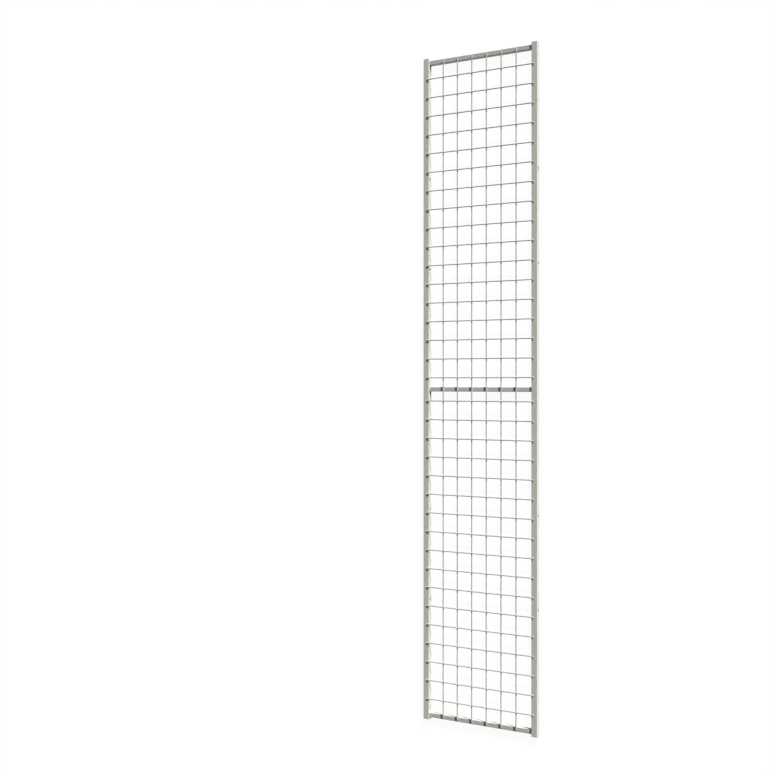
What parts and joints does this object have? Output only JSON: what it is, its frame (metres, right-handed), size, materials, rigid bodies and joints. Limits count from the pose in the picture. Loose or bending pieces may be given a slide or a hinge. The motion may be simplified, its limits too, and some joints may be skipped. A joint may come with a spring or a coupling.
{
  "type": "wire mesh fence panel",
  "caption": "Tall narrow garden fence panel: welded wire mesh on a frame of square steel tube, with drilled posts.",
  "frame": {"origin": "middle of the panel, on the plane of the posts' backs, which is the floor it lies on", "axes": "+X across the panel's width, +Y along its height from the bottom rail to the top rail, +Z out of its mesh side"},
  "size_m": [0.4, 2.2, 0.024],
  "materials": {
    "frame_powder_coat": "satin",
    "wire_powder_coat": "satin"
  },
  "bodies": {
    "root": {"post_left": "frame_powder_coat", "post_right": "frame_powder_coat", "rail_top": "frame_powder_coat", "rail_middle": "frame_powder_coat", "rail_bottom": "frame_powder_coat", "mesh": "wire_powder_coat"}
  },
  "joints": []
}
